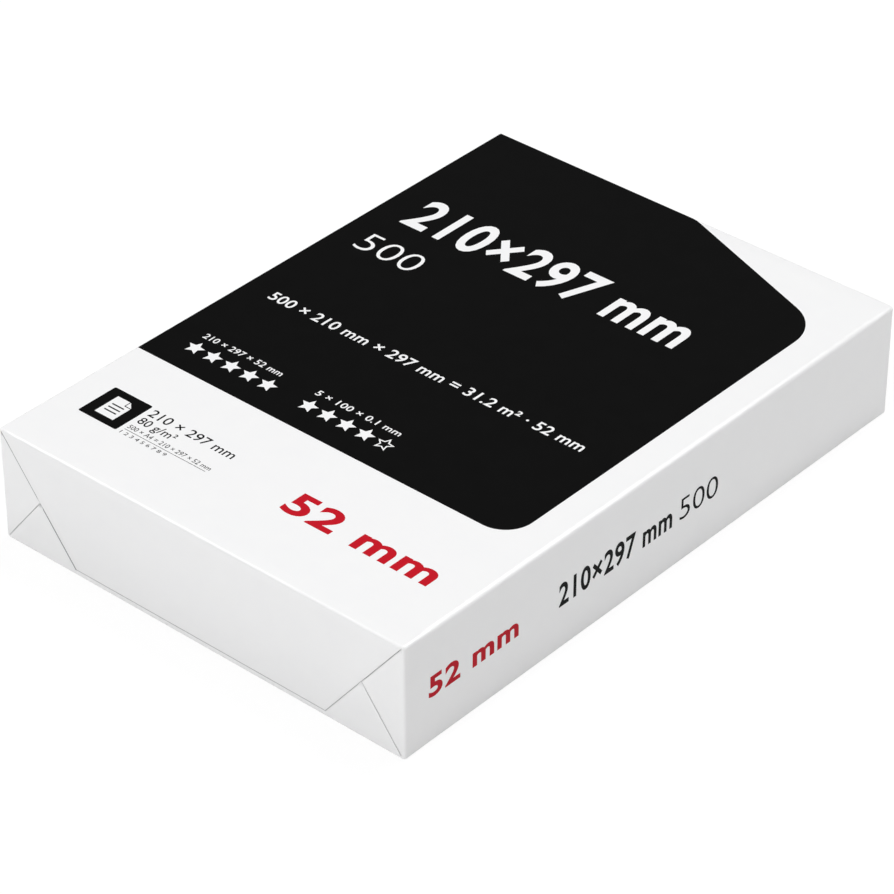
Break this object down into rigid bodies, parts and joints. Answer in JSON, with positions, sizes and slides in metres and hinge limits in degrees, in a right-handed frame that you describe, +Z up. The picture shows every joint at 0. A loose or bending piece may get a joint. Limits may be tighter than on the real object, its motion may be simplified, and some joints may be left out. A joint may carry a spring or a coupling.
{
  "type": "ream of paper",
  "caption": "Sealed ream of A4 copier paper in a white wrapper with folded ends and a black printed field on top.",
  "frame": {"origin": "centre of the underside of the pack", "axes": "+X to the right across the sheets, +Y up the page along the sheets, +Z up through the stack"},
  "size_m": [0.2102, 0.2988, 0.0522],
  "materials": {
    "wrapper_paper": "satin coated white paper",
    "black_ink": "satin black print",
    "white_print": "white lettering left clear of the black print",
    "red_ink": "satin red print"
  },
  "bodies": {
    "root": {"wrapped_ream": "wrapper_paper", "black_print_field": "black_ink"}
  },
  "joints": []
}
